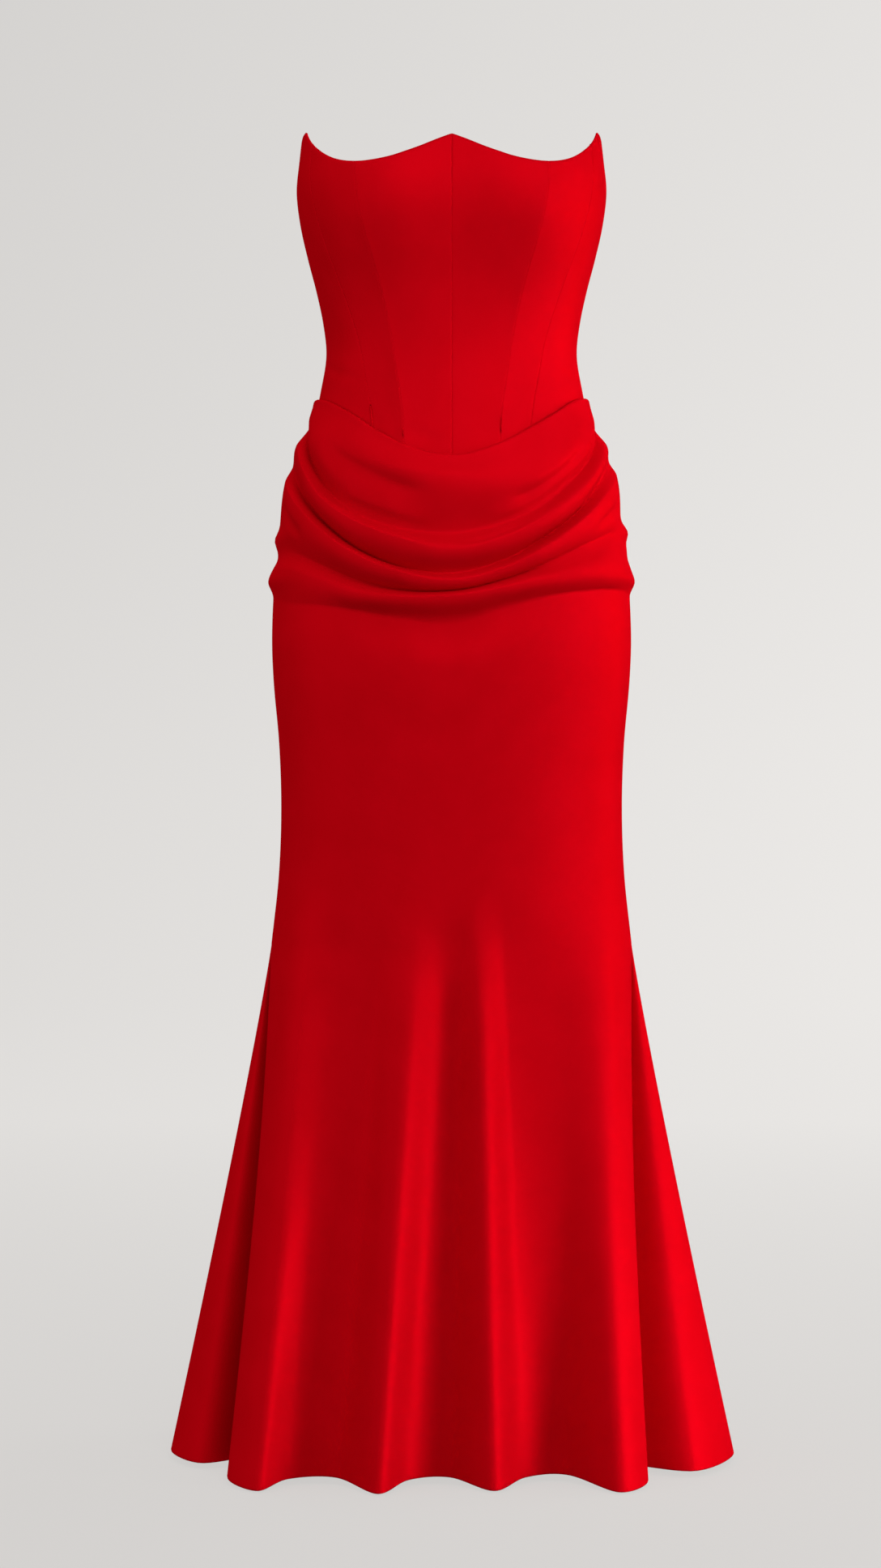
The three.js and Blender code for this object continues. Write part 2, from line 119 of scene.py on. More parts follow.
# Folds of the draped hip from its top edge down: troughs and ridges by turns, from the edge, which is a
# trough. Each fold has two values at each of the angles: how high it lies, and how far off the form.
FOLD_ANGLES = (-180, -150, -120, -90, -75, -60, -45, -30, -15, 0,
               15, 30, 45, 60, 75, 90, 120, 150, 180)
FOLDS = [
    {"name": "edge",
     "z": (-62, -58, -49, -44, -45, -50, -61, -77, -95, -105,
           -94, -77, -62, -49, -44, -43, -49, -58, -62),
     "stand": (3, 3.2, 4, 4.5, 4.5, 4.7, 5, 5.3, 5.5, 5.5,
               5.5, 5.3, 5, 4.7, 4.5, 4.5, 4, 3.2, 3)},
    {"name": "belly",
     "z": (-78, -72, -61, -60, -63, -81, -98, -110, -120, -127,
           -128, -119, -101, -80, -64, -60, -61, -72, -78),
     "stand": (3.5, 4, 4.6, 4, 7, 10, 11.6, 12, 12.2, 12.2,
               12, 11.6, 10.6, 9, 6.5, 4, 4.6, 4, 3.5)},
    {"name": "trough 1",
     "z": (-96, -88, -73, -69, -82, -110, -139, -159, -172, -176,
           -167, -149, -125, -104, -83, -70, -73, -88, -96),
     "stand": (2.4, 2.2, 2.4, 2.2, -0.6, -2, -1.4, 1.6, 2, 2.2,
               2.4, 2.4, 1.6, 0.4, 0.2, 2.2, 2.4, 2.2, 2.4)},
    {"name": "ridge 2",
     "z": (-116, -107, -90, -88, -91, -115, -144, -166, -182, -193,
           -181, -160, -137, -112, -91, -87, -90, -107, -116),
     "stand": (4, 5.2, 6.4, 6, 8.5, 10.5, 12, 13, 13.2, 13,
               13, 12.5, 12, 10.5, 8.5, 6, 6.4, 5.2, 4)},
    {"name": "trough 2",
     "z": (-142, -132, -114, -106, -120, -143, -167, -191, -208, -214,
           -201, -179, -156, -131, -112, -101, -114, -132, -142),
     "stand": (2.4, 2.2, 2.6, 4, 1, -1.4, -2, -2, -1, 2,
               0.6, -0.5, -0.5, 0.5, 1.5, 4, 2.6, 2.2, 2.4)},
    {"name": "ridge 3",
     "z": (-164, -153, -132, -120, -128, -147, -171, -195, -212, -221,
           -209, -187, -163, -140, -123, -114, -132, -153, -164),
     "stand": (4, 5.4, 7, 7, 9.5, 11, 12, 12.5, 12.5, 12.5,
               12.5, 12, 11, 10, 9, 7.5, 7, 5.4, 4)},
    {"name": "trough 3",
     "z": (-198, -191, -181, -186, -187, -193, -205, -219, -229, -230,
           -219, -203, -187, -176, -167, -160, -175, -191, -198),
     "stand": (2.4, 2.2, 2.2, 2.6, 1.2, -0.4, -1, -1, -0.4, 0,
               0.6, 1.3, 1.6, 1.6, 2, 2.6, 2.2, 2.2, 2.4)},
    {"name": "ridge 4",
     "z": (-222, -215, -207, -210, -207, -209, -218, -231, -236, -235,
           -227, -218, -211, -207, -206, -209, -207, -215, -222),
     "stand": (3.8, 4.8, 5.6, 6, 6, 6.2, 6.8, 8.2, 9.8, 10.6,
               10.6, 10.2, 9.4, 8.2, 6.8, 6, 5.6, 4.8, 3.8)},
    {"name": "trough 4",
     "z": (-246, -242, -234, -231, -235, -239, -242, -247, -256, -261,
           -246, -234, -228, -225, -226, -229, -234, -242, -246),
     "stand": (2.6, 2.4, 2.4, 2.6, 2.4, 2, 1.4, 0.3, -1.2, -2,
               -1.1, 0.2, 0.3, 0.6, 1.8, 2.6, 2.4, 2.4, 2.6)},
]

# How the cloth turns into each trough, by the trough's number in FOLDS and by angle: under is how the roll
# above goes down into it, and over is how the cloth below rises out. 1 is a sharp valley, 2 a soft wave and
# 4 a wide floor between steep sides.
TROUGHS = {
    0: {"angle": (-180, 180), "under": (2, 2), "over": (1.6, 1.6)},
    2: {"angle": (-120, -75, -60, -45, -30, 30, 45, 60, 75, 120),
        "under": (2, 1.2, 1, 1.2, 1.4, 1.3, 1.3, 1.2, 1.2, 2),
        "over": (2, 0.9, 0.8, 1, 1.8, 1.8, 1.4, 1, 1, 2)},
    4: {"angle": (-120, -75, -60, -45, -30, -15, 0, 15, 30, 45, 60, 75, 120),
        "under": (2, 1.4, 1, 0.8, 0.8, 0.9, 1.3, 1, 0.9, 1, 1.4, 1.5, 2),
        "over": (2, 1.2, 0.8, 0.7, 0.7, 0.8, 1.4, 1.6, 1.8, 2, 2, 2, 2)},
    6: {"angle": (-120, -75, -60, -30, -15, 0, 45, 75, 120),
        "under": (2, 1.4, 1, 0.9, 0.8, 0.7, 0.8, 1, 2),
        "over": (2, 2.2, 2, 1.6, 1.2, 1, 1.3, 1.5, 2)},
    8: {"angle": (-120, -60, -30, -15, 0, 15, 30, 60, 120),
        "under": (2, 1, 1.1, 1.6, 1.9, 1.6, 1.1, 0.8, 2),
        "over": (2, 1.4, 1.4, 2, 2.4, 2, 1.4, 1.2, 2)},
}

# How far a roll sags for each millimetre that it stands out past an even slope
DROOP = 0.5

# Creases, listed one by one. A path is angles and heights, from right to left. Out is how far the cloth
# stands out, or in where it is negative, above and below are its widths to both sides of the path, and ends
# are the lengths over which it fades in and out.
CREASES = [
    {"path": [(-37, -137), (-28, -146), (-19, -155), (-10, -163), (-3, -166)],
     "out": 1.2, "above": 7, "below": 4, "ends": (14, 20)},
    {"path": [(7, -166), (15, -158), (25, -146), (36, -128), (50, -105), (63, -80)],
     "out": 1.4, "above": 7, "below": 4, "ends": (20, 25)},
    {"path": [(-77, -143), (-65, -161), (-53, -177)],
     "out": -2.6, "above": 5, "below": 6, "ends": (14, 16)},
    {"path": [(50, -171), (60, -158), (74, -144)],
     "out": -1.4, "above": 4, "below": 5, "ends": (16, 14)},
    {"path": [(21, -217), (30, -209), (42, -197), (62, -182)],
     "out": -1.2, "above": 5, "below": 6, "ends": (20, 20)},
    {"path": [(-51, -86), (-37, -107), (-25, -122), (-14, -135), (-2, -147)],
     "out": -4.4, "above": 8, "below": 13, "ends": (40, 36)},
    {"path": [(14, -148), (23, -141), (33, -127), (44, -108), (53, -89)],
     "out": -3.6, "above": 6, "below": 11, "ends": (26, 36)},
    {"path": [(1, -188), (9, -182), (19, -170), (27, -158)],
     "out": -1, "above": 2.5, "below": 2.5, "ends": (14, 20)},
    {"path": [(-38, -52), (-31, -68), (-25, -86)],
     "out": -0.8, "above": 6, "below": 6, "ends": (18, 10)},
    {"path": [(-21, -77), (-11, -84), (-1, -93)],
     "out": -0.7, "above": 5, "below": 7, "ends": (22, 20)},
    {"path": [(4, -92), (15, -78), (27, -63)],
     "out": -0.6, "above": 5, "below": 6, "ends": (20, 22)},
    {"path": [(40, -19), (52, -25), (70, -28)],
     "out": -0.9, "above": 5, "below": 5, "ends": (14, 14)},
    {"path": [(-77, -13), (-55, -25), (-41, -31)],
     "out": -0.8, "above": 5, "below": 5, "ends": (14, 14)},
]

# Millimetres in a degree round the hip and round the bodice, steps between two points of a crease's path,
# and how many of its widths a crease reaches
ARC = 2.55
BODICE_ARC = 2
CREASE_STEPS = 7
CREASE_REACH = 3

# Broad swells at the sides of the hip: their place, their widths in degrees and in height, and how far out
SIDE_SWELLS = [
    {"angle": -90, "z": -176, "wide": 20, "tall": 8, "out": 4.2},
    {"angle": -90, "z": -196, "wide": 18, "tall": 7, "out": -1.6},
    {"angle": -90, "z": -216, "wide": 24, "tall": 8, "out": 3},
    {"angle": 90, "z": -168, "wide": 20, "tall": 8, "out": 5},
    {"angle": 90, "z": -194, "wide": 20, "tall": 8, "out": -1.6},
    {"angle": 90, "z": -216, "wide": 24, "tall": 8, "out": 3},
]

# The most that a ridge may stand out past the troughs beside it for each millimetre of height between them
STEEPEST = 0.8

# Hem in plan: crests and notches of its waves, with the knee angle that each one falls from. Drop is how far
# it hangs below the hem's height, and lift how far it stands out already just below the knee.
HEM_FRONT = [
    {"angle": -89.6, "x": -190, "y": -32, "drop": 0, "lift": 0},
    {"angle": -66, "x": -206, "y": -112, "drop": 2, "lift": 1.5},
    {"angle": -49, "x": -176, "y": -153, "drop": 5, "lift": 6},
    {"angle": -38, "x": -149, "y": -122, "drop": 1, "lift": -4.5},
    {"angle": -23, "x": -106, "y": -121, "drop": 0, "lift": -3.5},
    {"angle": -9.5, "x": -67, "y": -165, "drop": 5, "lift": 8},
    {"angle": -2.2, "x": -39, "y": -126, "drop": 1, "lift": -6},
    {"angle": 2, "x": -2, "y": -120, "drop": 0, "lift": -4.5},
    {"angle": 6.6, "x": 38, "y": -153, "drop": 5, "lift": 7},
    {"angle": 15.2, "x": 68, "y": -115, "drop": 1, "lift": -5.5},
    {"angle": 31, "x": 106, "y": -110, "drop": 0, "lift": -4},
    {"angle": 49, "x": 150, "y": -158, "drop": 5, "lift": 6},
    {"angle": 65, "x": 179, "y": -124, "drop": 3, "lift": 0},
    {"angle": 89.6, "x": 165, "y": -66, "drop": 0, "lift": 0},
]
HEM_GODET_RIGHT = [
    {"angle": -90.4, "x": -190, "y": 58, "drop": 0, "lift": 0},
    {"angle": -90.2, "x": -242, "y": 64, "drop": 1, "lift": 0},
    {"angle": -90, "x": -267, "y": 0, "drop": 0, "lift": 0},
    {"angle": -89.8, "x": -236, "y": -54, "drop": 1, "lift": 0},
    {"angle": -89.6, "x": -190, "y": -32, "drop": 0, "lift": 0},
]
HEM_GODET_LEFT = [
    {"angle": 89.6, "x": 165, "y": -66, "drop": 0, "lift": 0},
    {"angle": 89.8, "x": 226, "y": -88, "drop": 1, "lift": 0},
    {"angle": 90, "x": 267, "y": -18, "drop": 0, "lift": 0},
    {"angle": 90.2, "x": 247, "y": 52, "drop": 1, "lift": 0},
    {"angle": 90.4, "x": 188, "y": 62, "drop": 0, "lift": 0},
]
HEM_BACK_LEFT = [
    {"angle": 90.4, "x": 188, "y": 62, "drop": 0, "lift": 0},
    {"angle": 112, "x": 204, "y": 114, "drop": 2, "lift": 3},
    {"angle": 127, "x": 150, "y": 158, "drop": 5, "lift": 2},
    {"angle": 145, "x": 104, "y": 126, "drop": 0, "lift": -3},
    {"angle": 163, "x": 54, "y": 172, "drop": 5, "lift": 3.5},
    {"angle": 180, "x": 0, "y": 138, "drop": 1, "lift": -3},
]
HEM_BACK_RIGHT = [
    {"angle": -180, "x": 0, "y": 138, "drop": 1, "lift": -3},
    {"angle": -163, "x": -50, "y": 176, "drop": 5, "lift": 3.5},
    {"angle": -145, "x": -106, "y": 124, "drop": 0, "lift": -3},
    {"angle": -127, "x": -154, "y": 160, "drop": 5, "lift": 2},
    {"angle": -112, "x": -206, "y": 110, "drop": 2, "lift": 3},
    {"angle": -90.4, "x": -190, "y": 58, "drop": 0, "lift": 0},
]

# How late the flare widens and deepens on its way down, where 1 would be a straight line
FLARE_CURVE = {"wide": 1.08, "deep": 1.22}

# How far above the knee the flare's waves start, over what height they grow, and how late they fade towards
# the hem
WAVE_START = {"above_knee": 60, "full": 120, "fade": 1.3}

# The side seams' angle above the godets, and how near to it the edges of the skirt pieces begin
SIDE_SEAM = {"angle": 90, "within": 5}

# Rows and columns of the pieces' grids. The rows of the drape are counted from each fold to the next, and
# the edge steps are the millimetres between a seam and the columns beside it.
ROWS_PER_FOLD = (14, 22, 18, 22, 16, 16, 14, 18, 16)
LIP_ROWS = 9
THIGH_ROWS = 66
TIP_ROWS = 3
FLARE_ROWS = 92
FRONT_COLUMNS = 138
BACK_COLUMNS = 72
GODET_COLUMNS = 36
PANEL_COLUMNS = 24
EDGE_STEPS = (0, 0.35, 0.8, 1.4, 2.2)
PANEL_ROWS = 96

# How often a panel's points are drawn towards its leaning seams and curved edges
PANEL_PASSES = 14

# About how wide the pieces are, to place the edge steps
SKIRT_WIDTH = 520
GODET_WIDTH = 150
PANEL_WIDTH = 62

# Where an edge runs outwards more than this, 1 being straight out, it keeps its own normals
OUTWARD_RUN = 0.9

# The drape's folded top edge: the radius of its fold, how far its flap stays clear of the form, and how long
# the flap is
LIP = {"radius": 1.9, "clear": 0.7, "turned": 9}

# The narrow turned hem: how deep its turning is, over what height its second layer ends, and the heights
# above the hem where its rows lie
HEM_TURN = 6
HEM_STEP = 0.8
HEM_ROWS = (8, 7, 6.4, 5.6, 3, 0.9, 0)

# Edges are drawn in by this much, so that they are round
EDGE_ROUND = 0.35

# The zip's coils, one on each tape: a flattened spiral of thin nylon line. Centre is how far its middle lies
# from the opening, inside how far in from the tape, and offset the part of a turn that moves the left one up.
COIL = {"low": -228, "turns": 236, "pitch": 1.52, "line": 0.34, "wide": 0.95, "deep": 0.5, "centre": 1.1,
        "inside": 0.85, "offset": 0.5, "steps": 8, "sides": 5}

# Heights on a tape that are the same to this many decimals of a millimetre are one height
HEIGHT_DECIMALS = 1

# How far a seam draws the cloth in beside it, and how wide. The princess and side front seams on the left
# are pressed deeper.
SEAM_DITCH = {"deep": 0.26, "pressed": 0.42, "wide": 0.7}
PRESSED_SEAMS = ("princess", "side_front")


def smooth(value, start, end):
    """A soft step from 0 at the start to 1 at the end."""
    part = np.clip((value - start) / (end - start), 0, 1)
    return part * part * (3 - 2 * part)


def lerp(a, b, part):
    return a + (b - a) * part


def ease(part):
    """A part of the way that starts and ends slowly."""
    return (1 - np.cos(np.pi * part)) / 2


def along(table, key, value, column):
    """The value of a column between a table's rows, on a smooth curve through them."""
    rows = sorted(table, key=lambda row: row[key])
    keys = np.array([row[key] for row in rows], float)
    values = np.array([row[column] for row in rows], float)
    before = np.maximum(np.arange(len(keys)) - 1, 0)
    after = np.minimum(np.arange(len(keys)) + 1, len(keys) - 1)
    slopes = (values[after] - values[before]) / (keys[after] - keys[before])
    value = np.asarray(value, float)
    i = np.clip(np.searchsorted(keys, value) - 1, 0, len(keys) - 2)
    span = keys[i + 1] - keys[i]
    s = np.clip((value - keys[i]) / span, 0, 1)
    start = (2 * s**3 - 3 * s**2 + 1) * values[i] + (s**3 - 2 * s**2 + s) * slopes[i] * span
    return start + (3 * s**2 - 2 * s**3) * values[i + 1] + (s**3 - s**2) * slopes[i + 1] * span


def form_point(angle, z, stand):
    """Points of the fitted form at angles and heights, moved out by a stand-off."""
    angle, z, stand = np.broadcast_arrays(np.asarray(angle, float), z, stand)
    sine = np.sin(np.radians(angle))
    cosine = np.cos(np.radians(angle))
    side = along(SECTIONS, "z", z, "side")
    depth = np.where(cosine > 0, along(SECTIONS, "z", z, "front"), along(SECTIONS, "z", z, "back"))
    x = side * np.sign(sine) * np.abs(sine) ** (2 / ROUNDNESS)
    y = -depth * np.sign(cosine) * np.abs(cosine) ** (2 / ROUNDNESS)
    out_x, out_y = x / side**2, y / depth**2
    length = np.hypot(out_x, out_y)
    cup = 0
    for mirror in (-1, 1):
        away = ((x - mirror * CUP["x"]) / CUP["wide"]) ** 2 + ((z - CUP["z"]) / CUP["tall"]) ** 2
        cup = cup + CUP["deep"] * np.exp(-away / 2)
    y = y - cup * np.sqrt(np.maximum(cosine, 0))
    return np.stack([x + stand * out_x / length, y + stand * out_y / length, z], axis=-1)


def top_edge(angle):
    """The height of the bodice's top edge at angles."""
    a = np.abs(angle)
    peak = along(NECK_PEAK, "angle", a, "up")
    rise = np.clip((a - NECK["rise_from"]) / (NECK["rise_to"] - NECK["rise_from"]), 0, 1)
    front = NECK["scoop"] + peak + NECK["side_rise"] * rise ** NECK["curve"]
    return lerp(front, BACK_TOP, smooth(a, NECK["rise_to"], BACK_TOP_FROM))


def by_angle(fold, column, angle):
    """A fold's height or stand-off at angles."""
    rows = [{"angle": a, "value": v} for a, v in zip(FOLD_ANGLES, fold[column])]
    return along(rows, "angle", angle, "value")


def drape_profile(angle):
    """Heights and stand-offs of the folds at angles, none steeper than the cloth hangs."""
    heights = [by_angle(fold, "z", angle) for fold in FOLDS]
    stands = [by_angle(fold, "stand", angle) for fold in FOLDS]
    for i in range(1, len(FOLDS), 2):
        below = i + 1 if i + 1 < len(FOLDS) else i - 1
        gap = np.maximum(heights[i - 1] - heights[i], np.where(below > i, heights[i] - heights[below], 0))
        limit = np.maximum(stands[i - 1], stands[below]) + STEEPEST * np.maximum(gap, 0)
        stands[i] = np.minimum(stands[i], limit)
    heights.append(heights[-1] - DRAPE_RUN_OUT)
    stands.append(np.full_like(heights[0], SKIRT_STAND))
    return heights, stands


def swell(angle, z):
    """How far the swells at the sides of the hip move the cloth out."""
    total = 0
    for s in SIDE_SWELLS:
        away = ((angle - s["angle"]) / s["wide"]) ** 2
        total = total + s["out"] * np.exp(-away - ((z - s["z"]) / s["tall"]) ** 2)
    return total


def turn_in(trough, angle, way):
    """How the cloth turns into a trough at angles, under it or over it."""
    table = TROUGHS[trough]
    return np.interp(angle, table["angle"], table[way])


def drape_row(angle, place):
    """One row of the drape, at a place between fold 0, its top edge, and its run-out."""
    heights, stands = drape_profile(angle)
    i = min(int(place), len(heights) - 2)
    part = place - i
    top = heights[i] - np.minimum(LIP["radius"], (stands[0] - LIP["clear"]) / 2) if i == 0 else heights[i]
    z = lerp(top, heights[i + 1], part)
    if i % 2 == 0:
        roll = np.sin(np.pi / 2 * part) ** turn_in(i, angle, "over")
        stand = lerp(stands[i], stands[i + 1], roll)
    else:
        roll = np.sin(np.pi / 2 * (1 - part)) ** turn_in(i + 1, angle, "under")
        stand = lerp(stands[i + 1], stands[i], roll)
        z = z - DROOP * (stand - lerp(stands[i], stands[i + 1], part))
    return form_point(angle, z, np.maximum(stand + swell(angle, z), LEAST_STAND))


def fold_places():
    """Where the drape's rows lie between its folds."""
    return [fold + step / steps for fold, steps in enumerate(ROWS_PER_FOLD) for step in range(steps)]


def lip_row(angle, turn):
    """One row of the folded top edge.

    Turn goes from 0 at its inner end to 1 where the drape starts. Its first half is the flap that hangs
    inside, and its second half is the fold.
    """
    heights, stands = drape_profile(angle)
    radius = np.minimum(LIP["radius"], (stands[0] - LIP["clear"]) / 2)
    if turn > 0.5:
        half_turn = np.pi * (1 - turn) * 2
        z = radius * np.sin(half_turn)
        inward = radius * (1 - np.cos(half_turn))
    else:
        z = -LIP["turned"] * (1 - 2 * turn)
        inward = 2 * radius
    return form_point(angle, heights[0] - radius + z, stands[0] - inward)


def spaced(columns, width):
    """Places across a piece from 0 to 1, close together beside its seams."""
    edge = np.array(EDGE_STEPS) / width
    middle = np.linspace(edge[-1], 1 - edge[-1], columns - 2 * len(edge) + 3)
    return np.concatenate([edge[:-1], middle, 1 - edge[-2::-1]])


def on_seam(angle):
    """The angle of a skirt piece's edge above the godets, where both pieces of a side seam meet."""
    beside = abs(abs(angle) - SIDE_SEAM["angle"]) < SIDE_SEAM["within"]
    return math.copysign(SIDE_SEAM["angle"], angle) if beside else angle


def hem_angles(hem):
    return np.array([row["angle"] for row in hem], float)


def hem_value(hem, wave, column):
    """The value of a hem's column at waves, which count its crests and notches."""
    rows = [dict(row, wave=i) for i, row in enumerate(hem)]
    return along(rows, "wave", wave, column)


def knee_angle(angles, wave):
    return np.interp(wave, np.arange(len(angles)), angles)


def lifted(points, hem, wave):
    """Moves points near the knee out by the start of the flare's waves."""
    height = points[:, 2]
    start = smooth(KNEE + WAVE_START["above_knee"] - height, 0, WAVE_START["full"])
    end = np.clip((height - HEM) / (KNEE - HEM), 0, 1)
    size = hem_value(hem, wave, "lift") * start * np.minimum(end * WAVE_START["fade"], 1)
    away = points[:, :2] / np.linalg.norm(points[:, :2], axis=-1, keepdims=True)
    points = points.copy()
    points[:, :2] += away * size[:, None]
    return points


def flare_row(hem, wave, part):
    """One row of the flare, at a part of the way from the knee to the hem."""
    knee = form_point(knee_angle(hem_angles(hem), wave), KNEE, SKIRT_STAND)
    x = lerp(knee[:, 0], hem_value(hem, wave, "x"), part ** FLARE_CURVE["wide"])
    y = lerp(knee[:, 1], hem_value(hem, wave, "y"), part ** FLARE_CURVE["deep"])
    z = lerp(KNEE, HEM - hem_value(hem, wave, "drop"), part)
    return lifted(np.stack([x, y, z], axis=-1), hem, wave)


def flare_parts():
    """How far down the flare its rows lie, from 0 at the knee to 1 at the hem, closer together in the hem."""
    turned = 1 - np.array(HEM_ROWS) / (KNEE - HEM)
    return np.concatenate([np.linspace(0, turned[0], FLARE_ROWS), turned[1:]])


def skirt_points(hem, columns):
    """Rows of points from the turned-in end of the top edge to the hem."""
    wave = (len(hem) - 1) * spaced(columns, SKIRT_WIDTH if hem is HEM_FRONT else SKIRT_WIDTH / 2)
    angles = hem_angles(hem)
    even = lerp(on_seam(angles[0]), on_seam(angles[-1]), wave / (len(hem) - 1))
    rows = [lip_row(even, turn) for turn in np.linspace(0, 1, LIP_ROWS + 1)[:-1]]
    rows += [drape_row(even, place) for place in fold_places()]
    end = drape_profile(even)[0][-1]
    seam_angles = angles.copy()
    seam_angles[0] = on_seam(angles[0])
    seam_angles[-1] = on_seam(angles[-1])
    for step in range(THIGH_ROWS + 1):
        part = step / THIGH_ROWS
        angle = lerp(even, knee_angle(seam_angles, wave), ease(part))
        rows.append(lifted(form_point(angle, lerp(end, KNEE + GODET_TIP, part), SKIRT_STAND), hem, wave))
    for step in range(1, TIP_ROWS):
        part = step / TIP_ROWS
        angle = lerp(knee_angle(seam_angles, wave), knee_angle(angles, wave), part)
        rows.append(lifted(form_point(angle, KNEE + GODET_TIP * (1 - part), SKIRT_STAND), hem, wave))
    rows += [flare_row(hem, wave, part) for part in flare_parts()]
    return np.array(rows)


def godet_points(hem):
    wave = (len(hem) - 1) * spaced(GODET_COLUMNS, GODET_WIDTH)
    return np.array([flare_row(hem, wave, part) for part in flare_parts()])


def seam_angle(seam, side, z):
    """A bodice seam's angle at heights. Side is 1 on the left and -1 on the right."""
    fixed = {"centre_front": 0, "side": SIDE_SEAM["angle"], "centre_back": 180}
    if seam in fixed:
        return np.full_like(z, side * fixed[seam])
    return side * along(BODICE_SEAMS, "z", z, seam)


def panel_points(start, end, side):
    """Rows of points of a bodice panel from its top edge down to where it is tucked under the drape."""
    across = spaced(PANEL_COLUMNS, PANEL_WIDTH)
    drape_front = by_angle(FOLDS[0], "z", 0)
    rows = []
    for up in np.linspace(1, 0, PANEL_ROWS + 1):
        z = np.full_like(across, lerp(drape_front, NECK["scoop"], up))
        for _ in range(PANEL_PASSES):
            angle = lerp(seam_angle(start, side, z), seam_angle(end, side, z), across)
            z = lerp(by_angle(FOLDS[0], "z", angle) - TUCK, top_edge(angle), up)
        away = np.abs(np.abs(angle) - along(BODICE_SEAMS, "z", z, "princess")) * BODICE_ARC
        rows.append(form_point(angle, z, PRINCESS_RIDGE["out"] * np.exp(-away / PRINCESS_RIDGE["wide"])))
    return np.array(rows)


def unit(vectors):
    return vectors / np.linalg.norm(vectors, axis=-1, keepdims=True)


def outward(points):
    """Unit normals of a grid of points whose rows go down and whose columns go right, seen from outside.

    At both side edges the normal lies in the plane of the form's own axis, so that the two pieces of a seam
    share it and stay together.
    """
    down = unit(np.gradient(points, axis=0))
    normal = unit(np.cross(down, np.gradient(points, axis=1)))
    for edge in (0, -1):
        away = unit(points[:, edge] * (1, 1, 0))
        across = (away * down[:, edge]).sum(-1, keepdims=True)
        shared = away - across * down[:, edge]
        faces_out = np.sign((shared * normal[:, edge]).sum(-1, keepdims=True))
        keeps_close = np.abs(across) < OUTWARD_RUN
        normal[:, edge] = np.where(keeps_close, unit(shared) * faces_out, normal[:, edge])
    return normal


def rounded(points, rows):
    """Draws the cloth in along the given rows, which are its free edges."""
    shaped = points.copy()
    shaped[rows] -= outward(points)[rows] * EDGE_ROUND
    return shaped


def way_across(points):
    """How far along its row each point is, from the first one."""
    steps = np.linalg.norm(np.diff(points, axis=1), axis=-1)
    return np.concatenate([np.zeros((len(points), 1)), np.cumsum(steps, axis=1)], axis=1)


def way_down(points):
    """How far down its column each point is, from the first one."""
    steps = np.linalg.norm(np.diff(points, axis=0), axis=-1)
    return np.concatenate([np.zeros((1, points.shape[1])), np.cumsum(steps, axis=0)], axis=0)


def angle_of(points):
    """The angle round the form of points on or near it."""
    x, y, z = points[..., 0], points[..., 1], points[..., 2]
    side = along(SECTIONS, "z", z, "side")
    depth = np.where(y < 0, along(SECTIONS, "z", z, "front"), along(SECTIONS, "z", z, "back"))
    sine = np.sign(x) * np.abs(x / side) ** (ROUNDNESS / 2)
    cosine = np.sign(-y) * np.abs(y / depth) ** (ROUNDNESS / 2)
    return np.degrees(np.arctan2(sine, cosine))


def smooth_path(path):
    """Points on a smooth line through a path's angles and heights, in millimetres across and up."""
    rows = [{"i": i, "across": angle * ARC, "up": z} for i, (angle, z) in enumerate(path)]
    at = np.linspace(0, len(path) - 1, (len(path) - 1) * CREASE_STEPS + 1)
    return np.stack([along(rows, "i", at, "across"), along(rows, "i", at, "up")], axis=-1)


def crease_height(spot, crease):
    """How far a crease moves the cloth out at spots, which are millimetres across and up."""
    line = smooth_path(crease["path"])
    reach = CREASE_REACH * max(crease["above"], crease["below"])
    low, high = line.min(axis=0) - reach, line.max(axis=0) + reach
    near = np.all((spot > low) & (spot < high), axis=-1)
    out = np.zeros(spot.shape[:-1])
    if not near.any():
        return out
    here = spot[near][:, None, :]
    start, step = line[:-1], np.diff(line, axis=0)
    length = np.linalg.norm(step, axis=-1)
    done = np.concatenate([[0], np.cumsum(length)])
    part = np.clip(((here - start) * step).sum(-1) / length**2, 0, 1)
    offset = here - (start + part[..., None] * step)
    distance = np.linalg.norm(offset, axis=-1)
    best = distance.argmin(axis=1)
    pick = np.arange(len(best))
    offset = offset[pick, best]
    along_path = done[best] + part[pick, best] * length[best]
    is_above = step[best, 0] * offset[:, 1] - step[best, 1] * offset[:, 0] > 0
    width = np.where(is_above, crease["above"], crease["below"])
    fade = smooth(along_path, 0, crease["ends"][0]) * smooth(done[-1] - along_path, 0, crease["ends"][1])
    out[near] = crease["out"] * np.exp(-((distance[pick, best] / width) ** 2)) * fade
    return out


def creased(points, angles):
    """Presses the listed creases into the cloth."""
    spot = np.stack([angles * ARC, points[..., 2]], axis=-1)
    amount = sum(crease_height(spot, crease) for crease in CREASES)
    return points + outward(points) * amount[..., None]


def draw_in_seams(points, deep):
    """Draws the cloth in beside its two seams, by one depth for each."""
    left = way_across(points)
    right = left[:, -1:] - left
    ditch = sum(d * np.exp(-((away / SEAM_DITCH["wide"]) ** 2)) for d, away in zip(deep, (left, right)))
    return points - outward(points) * ditch[..., None]


def hemmed(points):
    """The skirt cloth's thickness by rows: one layer, and two in the turned hem."""
    down = way_down(points)
    up = (down[-1] - down).min(axis=1)
    return SKIRT_CLOTH * (1 + smooth(HEM_TURN + HEM_STEP / 2 - up, 0, HEM_STEP))[:, None, None]


